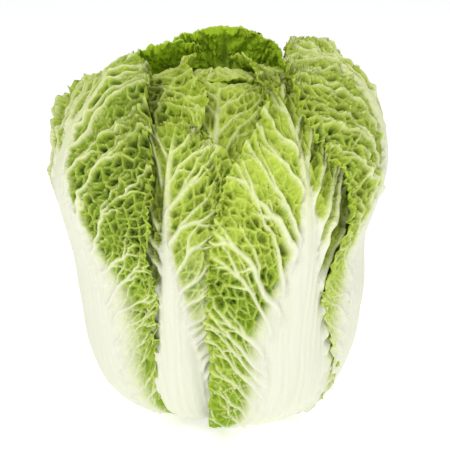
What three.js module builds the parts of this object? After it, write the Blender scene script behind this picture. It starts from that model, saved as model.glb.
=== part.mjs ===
// A head of napa cabbage, standing on its cut stem: millimetres, +Z up, origin at the middle of the cut face.
//
// Every leaf is a closed sheet laid over one shared head shape. A place on the head is given by the ray that
// leads to it from the head's centre, and a leaf lies on the head shape plus a lift of its own, so leaves
// with different lifts are nested like the layers of the real head and never cross.
import * as THREE from "three";

// ---- driving dimensions -------------------------------------------------------------------------------

// Outline of the head from the middle of the foot to the crown: [radius, height].
const HEAD_OUTLINE = [
  [0, 3], [28, 4.5], [46, 6], [62, 11], [78, 25], [88, 48], [94, 80],
  [98, 125], [98, 165], [88, 203], [66, 229], [35, 243], [0, 247],
];
const CENTRE_HEIGHT = 110;

// The cut stem is a cone that points at the head's centre; the leaves grow from its side.
const STEM_ANGLE = 14.4;
const STEM_HEIGHT = 29;
const FOOT_ANGLE = 14.9;

const BLADE_THICKNESS = 1.6;
const RIB_HEIGHT = 1.3;
const CRINKLE_HEIGHT = 0.55;

// Margins wave in and out by EDGE_WAVE and are cut in scallops; each turns this many radians from one row
// of points to the next.
const EDGE_WAVE = 1.4;
const EDGE_WAVE_TURN = 1.6;
const SCALLOP_DEPTH = 2.2;
const SCALLOP_TURN = 2.1;
const FRILL_LENGTH = 12;

// Rows climb towards the margins by ROW_SLANT, less near the tip, and crowd together towards the tip.
const ROW_SLANT = 0.42;
const TIP_SLANT_SHARE = 0.25;
const ROW_CROWDING = 0.35;

const OUTER_ROWS = 23;
const OUTER_COLUMNS = 16;
const INNER_ROWS = 15;
const INNER_COLUMNS = 10;
const HEART_ROWS = 22;
const HEART_COLUMNS = 36;

const WHITE = 0xf0f2de;
const OUTER_GREEN = 0x93ad4a;
const INNER_GREEN = 0xb9cc72;

// Half widths and margin lifts are given at these shares of a leaf's length, from foot to tip.
const STATIONS = [0, 0.06, 0.16, 0.3, 0.42, 0.54, 0.66, 0.8, 0.9, 0.965, 1];

// Half widths of the fleshy stalk at STATIONS, where a leaf doesn't give its own.
const OUTER_STALK = [11, 19, 24, 24, 20, 15, 8, 4, 3, 2, 1.5];
const INNER_STALK = [9, 13, 16, 16, 13, 8, 4, 2, 2, 2, 2];

// azimuth: 0 faces -Y and grows towards +X. tip: how far up and over the head the midrib reaches, in degrees
// from straight down. lift: [angle from straight down, distance outside the head shape]. left, right: half
// widths at STATIONS. stalk: how far it stands out of the blade, and how deep it is behind the blade.
// leftStalk, rightStalk: its half widths. leftMargin, rightMargin: extra lift of each margin. frill: how far
// the upper margin stands up.
const OUTER_LEAVES = [
  {
    name: "outer_leaf_left", azimuth: -75, tip: 159, stalk: [2, 3.5],
    lift: [[15, -1.5], [45, 0], [75, -1.5], [98, -1], [120, 13], [142, 7], [160, 5]],
    left: [12, 26, 42, 52, 56, 58, 57, 48, 32, 22, 8], right: [12, 50, 75, 86, 93, 100, 102, 86, 58, 30, 8],
    leftStalk: [11, 22, 36, 42, 42, 36, 22, 9, 5, 3, 2],
    rightStalk: [11, 34, 50, 56, 55, 46, 26, 11, 6, 3, 2],
    leftMargin: [0, 0, 0, 0, 0, 2, 12, 6, 0, 0, 0], rightMargin: [0, 3, 5, 3, 2, 1, 0, 0, 0, 1, 0],
  },
  {
    name: "outer_leaf_front_left", azimuth: -22, tip: 142, stalk: [6.5, 3],
    lift: [[15, -8], [45, -9.5], [75, -10.5], [122, -9], [146, -7]],
    left: [12, 17, 29, 41, 47, 53, 58, 60, 58, 52, 40], right: [12, 17, 30, 41, 47, 53, 57, 55, 38, 18, 6],
    leftStalk: [9, 15, 18, 18, 14, 7, 3, 3, 3, 3, 3], rightStalk: [9, 18, 26, 26, 20, 12, 5, 3, 3, 3, 3],
  },
  {
    name: "outer_leaf_front_right", azimuth: 33, tip: 155, stalk: [3.5, 3],
    lift: [[15, -4.5], [45, -4.5], [75, -5], [122, -3], [154, -1]],
    left: [12, 38, 57, 61, 61, 62, 62, 49, 28, 12, 5], right: [12, 18, 32, 39, 43, 49, 56, 56, 44, 30, 10],
    leftStalk: [11, 23, 28, 28, 28, 22, 13, 6, 3, 3, 3], rightStalk: [11, 17, 26, 26, 22, 14, 9, 4, 3, 3, 3],
    leftMargin: [0, 4, 5, 4, 2, 2, 3, 2, 1, 0, 0],
  },
  {
    name: "outer_leaf_right", azimuth: 85, tip: 161, stalk: [2, 1.5],
    lift: [[15, -1.5], [45, 0], [75, -1], [98, -1], [122, 13], [145, 12], [161, 9]],
    left: [12, 24, 45, 69, 73, 58, 96, 107, 92, 60, 16], right: [12, 26, 44, 54, 58, 62, 66, 64, 56, 44, 16],
    leftStalk: [11, 30, 46, 53, 53, 40, 22, 9, 5, 3, 2], rightStalk: [11, 20, 34, 42, 42, 30, 18, 8, 5, 3, 2],
    leftMargin: [0, 1, 3, 6, 10, 11, 3, 1, 1, 1, 0], rightMargin: [0, 0, 0, 0, 0, 0, 2, 7, 8, 6, 3],
  },
  {
    name: "outer_leaf_back_right", azimuth: 135, tip: 150, stalk: [5, 3],
    lift: [[15, -8], [45, -9.5], [75, -10.5], [122, -9], [150, -7]],
    left: [12, 23, 37, 45, 49, 54, 60, 62, 52, 38, 18], right: [12, 23, 37, 45, 49, 54, 60, 62, 52, 38, 18],
  },
  {
    name: "outer_leaf_back", azimuth: 178, tip: 157, stalk: [5, 2],
    lift: [[15, -4.5], [45, -4.5], [75, -4], [122, -1], [142, 7], [158, 13]],
    left: [12, 22, 42, 54, 57, 62, 66, 64, 60, 55, 46], right: [12, 22, 42, 54, 57, 62, 66, 64, 60, 55, 46],
    leftMargin: [0, 6, 8, 5, 1, 0, 0, 0, 0, 0, 0], rightMargin: [0, 6, 8, 5, 1, 0, 0, 0, 0, 0, 0],
  },
  {
    name: "outer_leaf_back_left", azimuth: 230, tip: 158, stalk: [5, 3],
    lift: [[15, -8], [45, -9.5], [75, -10.5], [122, -8], [145, -2], [158, 4]],
    left: [12, 23, 37, 45, 49, 54, 60, 64, 62, 56, 42], right: [12, 23, 37, 45, 49, 54, 58, 54, 44, 30, 12],
    rightMargin: [0, 0, 0, 0, 0, 0, -2, -4, -5, -5, -4],
  },
];

const INNER_LEAVES = [
  {
    name: "inner_leaf_front", azimuth: -3, tip: 176, lift: [[15, -21], [75, -26], [125, -23], [178, -21]],
    width: [12, 16, 26, 37, 45, 52, 58, 58, 52, 44, 26],
  },
  {
    name: "inner_leaf_right", azimuth: 55, tip: 164, lift: [[15, -24.5], [75, -31], [125, -27.5], [178, -25]],
    width: [12, 16, 26, 37, 45, 52, 58, 58, 50, 40, 18],
  },
  {
    name: "inner_leaf_back_right", azimuth: 101, tip: 170, frill: 6,
    lift: [[15, -17.5], [75, -21], [125, -17], [150, -14], [178, -13]],
    width: [12, 16, 26, 37, 45, 53, 62, 66, 66, 62, 50],
  },
  {
    name: "inner_leaf_back_left", azimuth: 190, tip: 178, frill: 6,
    lift: [[15, -21], [75, -26], [125, -22], [150, -19], [180, -18]],
    width: [12, 16, 26, 37, 45, 52, 58, 56, 46, 32, 20],
  },
  {
    name: "inner_leaf_left", azimuth: -86, tip: 171, frill: 8,
    lift: [[15, -17.5], [75, -21], [125, -17], [150, -14], [178, -13]],
    width: [12, 16, 26, 37, 45, 54, 66, 72, 72, 70, 58],
  },
].map(({ width, ...leaf }) => ({
  left: width, right: width, stalk: [0.6, 1.8], leftStalk: INNER_STALK, rightStalk: INNER_STALK,
  relief: 0.45, ...leaf,
}));

const HEART_LIFT = [[15, -31], [75, -37], [125, -32], [180, -29]];
const HEART_SEAMS = 5;
const HEART_SEAM_HEIGHT = 4;
const HEART_TWIST = 150;
const HEART_TOP_ANGLE = 178;
const HEART_FOOT_DEPTH = 29;
const HEART_CROWN_DEPTH = 31;

// ---- small helpers ------------------------------------------------------------------------------------

const radians = (degrees) => (degrees * Math.PI) / 180;
const degrees = (angle) => (angle * 180) / Math.PI;
const clamp = (x, low, high) => Math.min(high, Math.max(low, x));

// Rises from 0 to 1 between low and high, level at both ends.
function smooth(low, high, x) {
  const t = clamp((x - low) / (high - low), 0, 1);
  return t * t * (3 - 2 * t);
}

// Smooth curve through [x, y] points, with the slope at each point taken from its neighbours.
function curve(points) {
  const last = points.length - 1;
  const slope = points.map((_, i) => {
    const [x0, y0] = points[Math.max(0, i - 1)];
    const [x1, y1] = points[Math.min(last, i + 1)];
    return (y1 - y0) / (x1 - x0);
  });
  return (x) => {
    if (x <= points[0][0]) return points[0][1];
    if (x >= points[last][0]) return points[last][1];
    const i = points.findIndex((p) => p[0] > x) - 1;
    const [[x0, y0], [x1, y1]] = [points[i], points[i + 1]];
    const width = x1 - x0;
    const t = (x - x0) / width;
    const a = slope[i] * width;
    const b = slope[i + 1] * width;
    return y0 + t * (a + t * (3 * (y1 - y0) - 2 * a - b + t * (2 * (y0 - y1) + a + b)));
  };
}

// Distance from the head's centre to the head shape, for an angle in degrees from straight down.
const headDistance = curve(
  HEAD_OUTLINE.map(([radius, height]) => [
    degrees(Math.atan2(radius, CENTRE_HEIGHT - height)),
    Math.hypot(radius, CENTRE_HEIGHT - height),
  ]),
);

// Unit vectors of an azimuth: outward from the axis, and sideways towards growing azimuth.
const outward = (azimuth) => new THREE.Vector3(Math.sin(radians(azimuth)), -Math.cos(radians(azimuth)), 0);
const sideways = (azimuth) => new THREE.Vector3(Math.cos(radians(azimuth)), Math.sin(radians(azimuth)), 0);

// The point at a distance from the head's centre along a direction.
const along = (direction, distance) =>
  direction.clone().multiplyScalar(distance).add(new THREE.Vector3(0, 0, CENTRE_HEIGHT));

// The angle of a direction from straight down, in degrees.
const angleOf = (direction) => degrees(Math.acos(clamp(-direction.z, -1, 1)));

// A closed solid from a grid of points on its front face and the matching grid on its back face. Both faces
// are split along the same diagonals, so a thin waved sheet can't cross itself.
function sheetGeometry(front, back) {
  const rows = front.length;
  const columns = front[0].length;
  const positions = [...front.flat(), ...back.flat()].flatMap((p) => [p.x, p.y, p.z]);
  const at = (i, j, face) => face * rows * columns + i * columns + j;
  const index = [];
  for (let i = 0; i < rows - 1; i++)
    for (let j = 0; j < columns - 1; j++) {
      index.push(at(i, j, 0), at(i, j + 1, 0), at(i + 1, j + 1, 0));
      index.push(at(i, j, 0), at(i + 1, j + 1, 0), at(i + 1, j, 0));
      index.push(at(i, j, 1), at(i + 1, j + 1, 1), at(i, j + 1, 1));
      index.push(at(i, j, 1), at(i + 1, j, 1), at(i + 1, j + 1, 1));
    }
  const rim = [];
  for (let j = 0; j < columns; j++) rim.push([0, j]);
  for (let i = 1; i < rows; i++) rim.push([i, columns - 1]);
  for (let j = columns - 2; j >= 0; j--) rim.push([rows - 1, j]);
  for (let i = rows - 2; i > 0; i--) rim.push([i, 0]);
  rim.forEach(([i, j], k) => {
    const [m, n] = rim[(k + 1) % rim.length];
    index.push(at(i, j, 0), at(i, j, 1), at(m, n, 1), at(i, j, 0), at(m, n, 1), at(m, n, 0));
  });
  const geometry = new THREE.BufferGeometry();
  geometry.setAttribute("position", new THREE.Float32BufferAttribute(positions, 3));
  geometry.setIndex(index);
  return geometry;
}

// ---- a leaf -------------------------------------------------------------------------------------------

// Share of the stalk's full depth, at a share of the leaf's length.
const stalkDepth = curve([[0, 0.3], [0.15, 1], [0.3, 1], [0.55, 0.5], [0.8, 0.16], [1, 0.05]]);

// Angles along the midrib for equal steps of length, from the foot to a little past the tip.
function midribAngles(leaf, lift) {
  const step = 0.5;
  const angles = [FOOT_ANGLE];
  const lengths = [0];
  let tipLength = 0;
  for (let a = FOOT_ANGLE; a < leaf.tip + 24; a += step) {
    const r0 = headDistance(a) + lift(a);
    const r1 = headDistance(a + step) + lift(a + step);
    lengths.push(lengths.at(-1) + Math.hypot(r1 - r0, r0 * radians(step)));
    angles.push(a + step);
    if (a + step <= leaf.tip) tipLength = lengths.at(-1);
  }
  const angleAt = (length) => {
    const k = clamp(lengths.findIndex((l) => l > length), 1, lengths.length - 1);
    const t = (length - lengths[k - 1]) / (lengths[k] - lengths[k - 1]);
    return angles[k - 1] + clamp(t, 0, 1) * (angles[k] - angles[k - 1]);
  };
  return { angleAt, tipLength };
}

function leafGeometry(leaf, rows, columns) {
  const lift = curve(leaf.lift);
  const { angleAt, tipLength } = midribAngles(leaf, lift);
  const atStations = (values) => curve(STATIONS.map((share, i) => [share, values[i]]));
  const none = STATIONS.map(() => 0);
  const halfWidth = [atStations(leaf.left), atStations(leaf.right)];
  const marginLift = [atStations(leaf.leftMargin ?? none), atStations(leaf.rightMargin ?? none)];
  const stalkHalf = [atStations(leaf.leftStalk ?? OUTER_STALK), atStations(leaf.rightStalk ?? OUTER_STALK)];
  const [stalkOut, stalkIn] = leaf.stalk;
  const relief = leaf.relief ?? 1;
  const out = outward(leaf.azimuth);
  const side = sideways(leaf.azimuth);
  const front = [];
  const back = [];
  for (let i = 0; i <= rows; i++) {
    const share = i / rows;
    const u = share * (1 + ROW_CROWDING * (1 - share));
    const slant = ROW_SLANT * clamp(u / 0.25, 0, 1) * (1 - (1 - TIP_SLANT_SHARE) * smooth(0.6, 1, u));
    const frill = (leaf.frill ?? 0) * smooth(FRILL_LENGTH, 0, (1 - u) * tipLength) ** 1.5;
    front.push([]);
    back.push([]);
    for (let j = 0; j <= columns; j++) {
      const v = -1 + (2 * j) / columns;
      const half = v < 0 ? 0 : 1;
      const open = relief * clamp(u / 0.2, 0, 1);
      const nearEdge = smooth(0.4, 1, Math.abs(v));
      const scallop = SCALLOP_DEPTH * Math.sin(SCALLOP_TURN * i + 3 * half) * nearEdge * open;
      const x = v * (halfWidth[half](u) + scallop);
      const angle = angleAt(u * tipLength + slant * Math.abs(x));
      const spread = x / (headDistance(angle) + lift(angle));
      const middle = out.clone().multiplyScalar(Math.sin(radians(angle)));
      middle.z = -Math.cos(radians(angle));
      const direction = middle.multiplyScalar(Math.cos(spread)).addScaledVector(side, Math.sin(spread));
      const place = angleOf(direction);
      const stalk = Math.exp(-((x / stalkHalf[half](u)) ** 4)) * stalkDepth(u);
      const blade = (1 - stalk) * open;
      const wave = EDGE_WAVE * Math.sin(EDGE_WAVE_TURN * i + 2 * half) * open;
      const margin = frill + nearEdge * (marginLift[half](u) + wave);
      const rib = RIB_HEIGHT * (i % 2 ? 1 : -1) * blade;
      const crinkle = CRINKLE_HEIGHT * ((i + j) % 2 ? 1 : -1) * blade;
      const distance = headDistance(place) + lift(place) + margin + rib + crinkle;
      front.at(-1).push(along(direction, distance + stalkOut * stalk));
      back.at(-1).push(along(direction, distance - BLADE_THICKNESS - stalkIn * stalk));
    }
  }
  return sheetGeometry(front, back);
}

// ---- the heart ----------------------------------------------------------------------------------------

// Closely packed inner leaves: a closed surface whose overlapping margins climb round it to the crown.
function heartGeometry() {
  const lift = curve(HEART_LIFT);
  const positions = [];
  const ring = [];
  for (let i = 1; i < HEART_ROWS; i++) {
    const angle = FOOT_ANGLE + ((HEART_TOP_ANGLE - FOOT_ANGLE) * i) / HEART_ROWS;
    ring.push([]);
    for (let j = 0; j < HEART_COLUMNS; j++) {
      const azimuth = (360 * j) / HEART_COLUMNS;
      const direction = outward(azimuth).multiplyScalar(Math.sin(radians(angle)));
      direction.z = -Math.cos(radians(angle));
      const turn = (azimuth + (HEART_TWIST * angle) / 180) * (HEART_SEAMS / 360);
      const seam = HEART_SEAM_HEIGHT * (turn - Math.floor(turn) - 1) * clamp((angle - 60) / 60, 0, 1);
      const pucker = CRINKLE_HEIGHT * ((i + j) % 2 ? 1 : -1);
      ring.at(-1).push(positions.length / 3);
      positions.push(...along(direction, headDistance(angle) + lift(angle) + seam + pucker));
    }
  }
  const foot = positions.length / 3;
  positions.push(...along(new THREE.Vector3(0, 0, -1), headDistance(0) - HEART_FOOT_DEPTH));
  positions.push(...along(new THREE.Vector3(0, 0, 1), headDistance(180) - HEART_CROWN_DEPTH));
  const index = [];
  for (let j = 0; j < HEART_COLUMNS; j++) {
    const k = (j + 1) % HEART_COLUMNS;
    index.push(foot, ring[0][k], ring[0][j]);
    index.push(foot + 1, ring.at(-1)[j], ring.at(-1)[k]);
    for (let i = 0; i < ring.length - 1; i++) {
      index.push(ring[i][j], ring[i][k], ring[i + 1][k], ring[i][j], ring[i + 1][k], ring[i + 1][j]);
    }
  }
  const geometry = new THREE.BufferGeometry();
  geometry.setAttribute("position", new THREE.Float32BufferAttribute(positions, 3));
  geometry.setIndex(index);
  return geometry;
}

// ---- the cut stem -------------------------------------------------------------------------------------

function stemGeometry() {
  const radiusAt = (height) => (CENTRE_HEIGHT - height) * Math.tan(radians(STEM_ANGLE));
  const profile = [
    [0, 0], [radiusAt(0) - 1, 0], [radiusAt(1), 1], [radiusAt(STEM_HEIGHT - 3), STEM_HEIGHT - 3],
    [radiusAt(STEM_HEIGHT) - 4, STEM_HEIGHT], [0, STEM_HEIGHT + 1],
  ].map(([radius, height]) => new THREE.Vector2(radius, height));
  return new THREE.LatheGeometry(profile, 32).rotateX(Math.PI / 2);
}

// ---- the head -----------------------------------------------------------------------------------------

const head = new THREE.Group();

function add(name, geometry, color, roughness) {
  const mesh = new THREE.Mesh(geometry, new THREE.MeshStandardMaterial({ color, roughness, metalness: 0 }));
  mesh.name = name;
  head.add(mesh);
}

add("cut_stem", stemGeometry(), WHITE, 0.6);
add("heart", heartGeometry(), INNER_GREEN, 0.5);
for (const leaf of INNER_LEAVES) {
  add(leaf.name, leafGeometry(leaf, INNER_ROWS, INNER_COLUMNS), INNER_GREEN, 0.5);
}
for (const leaf of OUTER_LEAVES) {
  add(leaf.name, leafGeometry(leaf, OUTER_ROWS, OUTER_COLUMNS), OUTER_GREEN, 0.45);
}

export default head;
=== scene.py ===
"""A head of napa cabbage standing on its cut stem: an add-on that builds it leaf by leaf."""

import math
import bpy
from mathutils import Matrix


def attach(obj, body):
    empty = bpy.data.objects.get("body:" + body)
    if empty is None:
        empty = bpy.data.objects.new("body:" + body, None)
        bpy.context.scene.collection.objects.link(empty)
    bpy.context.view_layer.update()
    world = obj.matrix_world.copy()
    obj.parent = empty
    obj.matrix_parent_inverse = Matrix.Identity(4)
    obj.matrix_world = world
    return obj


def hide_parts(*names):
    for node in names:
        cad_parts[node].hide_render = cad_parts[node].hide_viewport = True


bl_info = {
    "name": "Napa cabbage",
    "version": (1, 0, 0),
    "blender": (4, 5, 0),
    "location": "3D View > Sidebar > Cabbage",
    "description": "Builds a head of napa cabbage leaf by leaf, with a pale stage and a camera",
    "category": "Add Mesh",
}

from types import SimpleNamespace

import bpy
import numpy as np
from mathutils import Vector

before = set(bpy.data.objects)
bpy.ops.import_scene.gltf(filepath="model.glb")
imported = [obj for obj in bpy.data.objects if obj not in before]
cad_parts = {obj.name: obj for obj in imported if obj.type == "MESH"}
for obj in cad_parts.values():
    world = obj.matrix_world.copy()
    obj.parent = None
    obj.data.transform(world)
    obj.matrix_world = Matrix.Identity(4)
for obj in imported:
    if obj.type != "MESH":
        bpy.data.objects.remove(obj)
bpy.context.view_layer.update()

MM = 0.001

# ---- the head's shape, in millimetres and degrees ------------------------------------------------

# Outline of the head from the middle of the foot to the crown: (radius, height).
HEAD_OUTLINE = (
    (0, 3), (28, 4.5), (46, 6), (62, 11), (78, 25), (88, 48), (94, 80),
    (98, 125), (98, 165), (88, 203), (66, 229), (35, 243), (0, 247),
)
# Leaves and the head's outline are laid out as angles from straight down, seen from this height on the
# axis: where the midribs start and where the stem's side ends.
CENTRE_HEIGHT = 110
FOOT_ANGLE = 14.9
STEM_ANGLE = 14.4
STEM_HEIGHT = 29

# How steeply a leaf's rows climb towards its margins.
ROW_SLANT = 0.42

# Half widths and margin lifts are given at these shares of a leaf's length, from foot to tip.
STATIONS = (0, 0.06, 0.16, 0.3, 0.42, 0.54, 0.66, 0.8, 0.9, 0.965, 1)
FLAT = (0,) * len(STATIONS)

FRONT_GRID = (300, 190)
SIDE_GRID = (290, 150)
BACK_GRID = (190, 120)
INNER_GRID = (170, 110)
CROWN_GRID = (120, 90)
HIDDEN_GRID = (90, 60)

# Side veins leave the stalk at these places: (length along the leaf, gap to the next vein, slope at the
# stalk, slope farther out, width).
VEINS = (
    (20, 8, 0.4, 0.5, 0.9), (60, 9, 0.6, 0.6, 1.2), (120, 11, 0.9, 0.8, 1.6),
    (160, 18, 2.0, 1.0, 2.2), (220, 20, 1.6, 1.2, 1.5), (300, 14, 1.5, 1.5, 0.8),
)

# Half widths of the fleshy stalk at STATIONS, where a leaf doesn't give its own.
STALK = (11, 19, 24, 24, 20, 15, 8, 4, 3, 2, 1.5)


def leaf(name, azimuth, tip, lift, left, right, stalk, **more):
    """A leaf's table, in millimetres and degrees.

    azimuth: 0 faces -Y and grows towards +X. tip: how far up and over the head the midrib reaches,
    from straight down. lift: (angle, distance outside the head shape) pairs. left, right: half
    widths at STATIONS. stalk: how far it stands out of the blade and how deep it is behind it.
    left_stalk, right_stalk: its half widths. left_margin, right_margin: extra lift of each margin.
    frill: how far the tip curls up. veins: rows as in VEINS. grid: quads along and across.
    crowding: how much closer the rows get towards the tip. teeth: depth of the margin's notches.
    ruffle: height of the margin's waves, left and right. wave: their length. shear: how steeply the
    cells of the net climb away from the midrib. cells: their size across and along. blister: how marked
    their pits are, in depth and in painted shade. relief: how much of that is depth. pleat: depth of
    the lanes between the side veins. sway: height of the blade's broad waves. tones: how dark the low
    and the high blade are, 0 light and 1 dark; darker tones also deepen the pits' painted shade. pale:
    whiteness of the low blade. fine_inside: whether the leaf shows its inside, which then gets the full
    grid and the brighter skin that paints light shining through it."""
    table = {
        "name": name, "azimuth": azimuth, "tip": tip, "lift": lift, "left": left, "right": right,
        "stalk": stalk, "left_stalk": STALK, "right_stalk": STALK, "left_margin": FLAT,
        "right_margin": FLAT, "frill": 0, "veins": VEINS, "grid": FRONT_GRID, "crowding": 0.2,
        "teeth": 2.0, "ruffle": (3.0, 3.0), "wave": 15, "shear": 0.8, "cells": (6, 7), "blister": 1.0,
        "relief": 0.9, "pleat": 1.8, "sway": 2.0, "tones": (0.3, 0.4), "pale": 0.0,
        "fine_inside": False,
    }
    return SimpleNamespace(**{**table, **more})


OUTER_LEAVES = (
    leaf(
        "outer_leaf_left", -75, 159,
        (
            (15, -1.5), (45, 0), (75, -1.5), (90, -1), (104, 4), (120, 10.5), (142, 6), (151, 9),
            (160, 7),
        ),
        (12, 26, 42, 52, 56, 58, 57, 50, 32, 22, 8),
        (18, 50, 75, 81, 88, 100, 99, 85, 63, 38, 12),
        (2, 3.5), left_margin=(0, 0, 0, 0, 0, 2, 13, 10, 1, 0, 0),
        right_margin=(0, -3, -4, -4, -3, -1, 0, 0, -1, -2, -2),
        left_stalk=(11, 22, 36, 42, 42, 36, 17, 5, 3, 2, 1.5),
        right_stalk=(11, 34, 50, 56, 55, 47, 26, 8, 3, 2, 1.5),
        veins=(
            (20, 9, 0.4, 0.5, 1.6), (60, 11, 0.6, 0.6, 2.0), (130, 14, 1.4, 0.8, 2.6),
            (160, 20, 2.6, 1.2, 3.0), (190, 20, 3.6, 1.5, 2.8), (230, 22, 3.5, 1.5, 2.0),
            (280, 20, 2.4, 1.3, 1.2), (320, 18, 1.5, 1.3, 0.8),
        ),
        seed=11, tones=(0.95, 1.0), blister=1.9, relief=0.7, pleat=0.7, sway=3.2, cells=(6.5, 8),
        ruffle=(2.0, 4.0),
    ),
    leaf(
        "outer_leaf_front_left", -22, 145,
        ((15, -8), (45, -9.5), (75, -10.5), (122, -9), (146, -7)),
        (12, 17, 29, 41, 47, 53, 58, 60, 58, 52, 40),
        (12, 17, 30, 41, 47, 53, 57, 56, 45, 28, 10),
        (6.5, 3), left_stalk=(9, 15, 18, 18, 14, 7, 3, 2, 1.4, 1, 1),
        right_stalk=(9, 18, 26, 26, 20, 12, 5, 3, 2, 1.5, 1),
        veins=(
            (20, 8, 0.5, 0.6, 2.4), (60, 6.5, 0.6, 0.7, 2.8), (110, 7, 0.8, 0.8, 3.2),
            (140, 13, 1.4, 0.8, 3.6), (160, 20, 1.8, 1.0, 3.0), (190, 20, 2.0, 1.3, 1.8),
            (220, 17, 1.8, 1.4, 1.2), (260, 14, 1.5, 1.5, 0.8),
        ),
        right_margin=(0, 0, 0, 0, 0, 0, 0, 1, 2, 1, 0), seed=12, grid=SIDE_GRID, wave=13,
        tones=(0.1, 0.25), pale=0.58, blister=1.3, relief=0.8, cells=(6, 7.5), pleat=0.8, teeth=1.2,
    ),
    leaf(
        "outer_leaf_front_right", 33, 155,
        ((15, -1.5), (45, 0), (75, -4), (122, -3), (154, -1)),
        (12, 38, 57, 61, 62, 63, 59, 46, 23, 10, 5),
        (12, 18, 32, 39, 43, 49, 56, 56, 44, 30, 10),
        (3.5, 3), left_stalk=(11, 23, 28, 30, 29, 17, 6, 2, 1.4, 1, 1),
        right_stalk=(11, 17, 26, 27, 22, 15, 9, 4, 2, 1.4, 1),
        left_margin=(0, 2, 4, 4, 4, 5, 6, 5, 3, 2, 0), right_margin=(0, 2, 3, 2, 1, 0, 0, 0, 0, 0, 0),
        veins=(
            (20, 12, 0.5, 0.5, 3.0), (60, 11, 0.8, 0.7, 3.6), (105, 13, 1.2, 0.9, 4.4),
            (130, 15, 2.2, 1.3, 5.4), (160, 18, 3.2, 1.8, 5.0), (190, 22, 2.6, 1.6, 3.4),
            (230, 24, 2.2, 1.5, 2.0), (280, 20, 2.0, 1.8, 0.9),
        ),
        seed=13, tones=(1.2, -0.55), cells=(6.5, 8), pleat=1.0, blister=0.85, relief=1.3,
        ruffle=(4.0, 3.0), wave=13,
    ),
    leaf(
        "outer_leaf_right", 85, 163,
        (
            (15, -1.5), (45, 0), (75, -1), (98, -4), (110, 2), (122, 11.5), (138, 15), (151, 11),
            (163, 5),
        ),
        (12, 24, 45, 71, 73, 77, 80, 87, 75, 46, 12),
        (12, 26, 44, 54, 58, 62, 66, 64, 56, 44, 16),
        (2, 1.5), left_stalk=(11, 30, 46, 53, 53, 40, 22, 9, 5, 3, 2),
        right_stalk=(11, 20, 34, 42, 42, 30, 18, 8, 5, 3, 2),
        left_margin=(0, 3, 3, 3, 6, 8, 4, 2, 1, 1, 0),
        right_margin=(0, 0, 0, 0, 0, 0, 2, 4, 4, 1, -1),
        veins=(
            (20, 9, 0.4, 0.5, 1.4), (60, 11, 0.6, 0.6, 1.8), (130, 14, 1.0, 0.8, 2.0),
            (160, 20, 2.4, 1.1, 2.6), (200, 26, 2.4, 1.2, 2.6), (250, 27, 2.0, 1.1, 1.8),
            (300, 22, 1.6, 1.0, 0.9),
        ),
        seed=14, tones=(0.25, 0.6), pale=0.06, blister=1.9, relief=0.75, pleat=0.6, sway=2.6,
        cells=(7, 8.5), ruffle=(2.6, 1.6),
    ),
    leaf(
        "outer_leaf_back_right", 135, 150,
        ((15, -8), (45, -9.5), (75, -10.5), (122, -9), (150, -7)),
        (12, 23, 37, 45, 49, 54, 60, 62, 52, 38, 18),
        (12, 23, 37, 45, 49, 54, 60, 62, 52, 38, 18),
        (5, 3), seed=15, grid=BACK_GRID,
    ),
    leaf(
        "outer_leaf_back", 178, 153,
        ((15, -4.5), (45, -4.5), (75, -4), (122, -1), (140, 7), (152, 14), (158, 17)),
        (12, 22, 42, 54, 57, 62, 66, 60, 46, 32, 14),
        (12, 22, 42, 54, 57, 62, 66, 60, 46, 36, 27),
        (5, 2), left_margin=(0, 6, 8, 5, 1, 0, 0, 0, 0, 0, 0),
        right_margin=(0, 6, 8, 5, 1, 0, 0, 0, 0, 0, 0), seed=16, grid=BACK_GRID, fine_inside=True,
        tones=(0.5, 0.4), cells=(4.2, 4.6), ruffle=(1.6, 1.6), wave=26, crowding=0.6, teeth=1,
        relief=0.6,
    ),
    leaf(
        "outer_leaf_back_left", 230, 155,
        ((15, -8), (45, -9.5), (75, -10.5), (122, -8), (142, -3), (154, 6)),
        (12, 23, 37, 45, 49, 54, 60, 64, 62, 56, 42),
        (12, 23, 37, 45, 49, 54, 58, 56, 50, 40, 24),
        (5, 3), right_margin=(0, 0, 0, 0, 0, 0, -2, -4, -5, -5, -4), seed=17, grid=BACK_GRID,
        fine_inside=True, ruffle=(3.0, 2.0), wave=19, cells=(4.6, 4.6), tones=(0.8, 0.8), crowding=0.6,
        teeth=1.0, relief=0.6,
    ),
)

INNER_WIDTHS = (12, 16, 26, 37, 45, 52, 58, 58, 50, 40, 18)
CROWN_WIDTHS = (12, 16, 26, 37, 45, 53, 62, 66, 66, 62, 50)
INNER_STALK = (9, 13, 16, 16, 12, 6, 2.4, 1.2, 0.8, 0.6, 0.5)
INNER_VEINS = (
    (20, 8, 0.4, 0.5, 0.9), (120, 11, 1.2, 0.9, 1.2), (170, 16, 3.0, 1.5, 1.4),
    (220, 16, 3.0, 1.8, 1.1), (290, 12, 2.4, 2.0, 0.7),
)
CROWN_VEINS = (
    (20, 8, 0.4, 0.5, 0.9), (120, 11, 1.2, 0.9, 1.2), (170, 20, 1.4, 0.7, 1.0),
    (240, 20, 1.0, 0.5, 0.9), (290, 20, 0.8, 0.4, 0.8),
)


def inner_leaf(name, azimuth, tip, lift, widths=INNER_WIDTHS, **more):
    """A leaf of the second ring: thinner stalk, softer relief."""
    softer = {
        "left_stalk": INNER_STALK, "right_stalk": INNER_STALK, "veins": INNER_VEINS,
        "grid": INNER_GRID, "crowding": 0.6, "teeth": 1.0, "ruffle": (2.0, 2.0), "wave": 20,
        "shear": 0.2, "cells": (6, 9), "blister": 1.5, "relief": 0.4, "pleat": 0.5, "sway": 1.2,
        "tones": (0.4, 0.4),
    }
    return leaf(name, azimuth, tip, lift, widths, widths, (0.6, 1.8), **{**softer, **more})


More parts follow.
